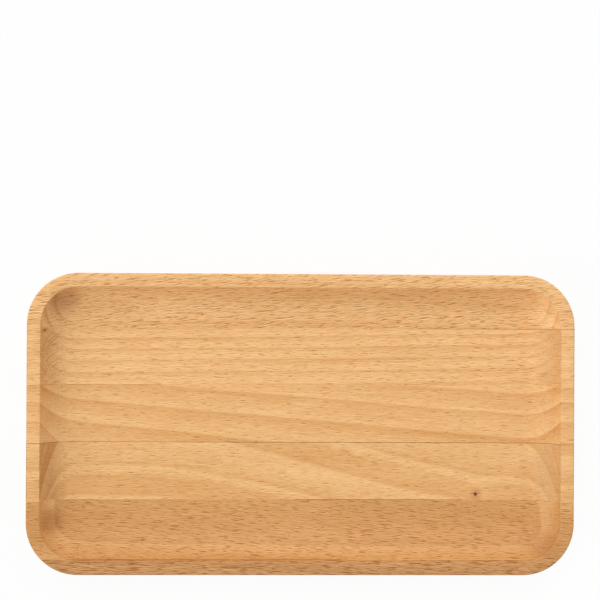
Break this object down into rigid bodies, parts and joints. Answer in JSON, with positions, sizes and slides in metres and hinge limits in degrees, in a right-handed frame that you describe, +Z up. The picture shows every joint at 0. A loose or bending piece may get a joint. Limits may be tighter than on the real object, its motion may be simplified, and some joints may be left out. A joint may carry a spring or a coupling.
{
  "type": "serving tray",
  "caption": "Shallow rectangular serving tray milled from an edge-glued wooden panel, with rounded corners, a narrow flat rim and a coved recess that holds cups, dishes or small things.",
  "frame": {"origin": "centre of the underside, on the surface that the tray stands on", "axes": "+X along the length and the grain, +Y to the back long side, +Z up out of the recess"},
  "size_m": [0.275, 0.151, 0.02],
  "materials": {
    "beech_1": "oiled satin",
    "beech_2": "oiled satin",
    "beech_3": "oiled satin",
    "beech_4": "oiled satin",
    "beech_5": "oiled satin",
    "beech_6": "oiled satin",
    "glue": "dried wood glue, sanded flush"
  },
  "bodies": {
    "root": {"stave_1": "beech_1", "stave_2": "beech_2", "stave_3": "beech_3", "stave_4": "beech_4", "stave_5": "beech_5", "stave_6": "beech_6", "glue_line_1": "glue", "glue_line_2": "glue", "glue_line_3": "glue", "glue_line_4": "glue", "glue_line_5": "glue"}
  },
  "joints": []
}
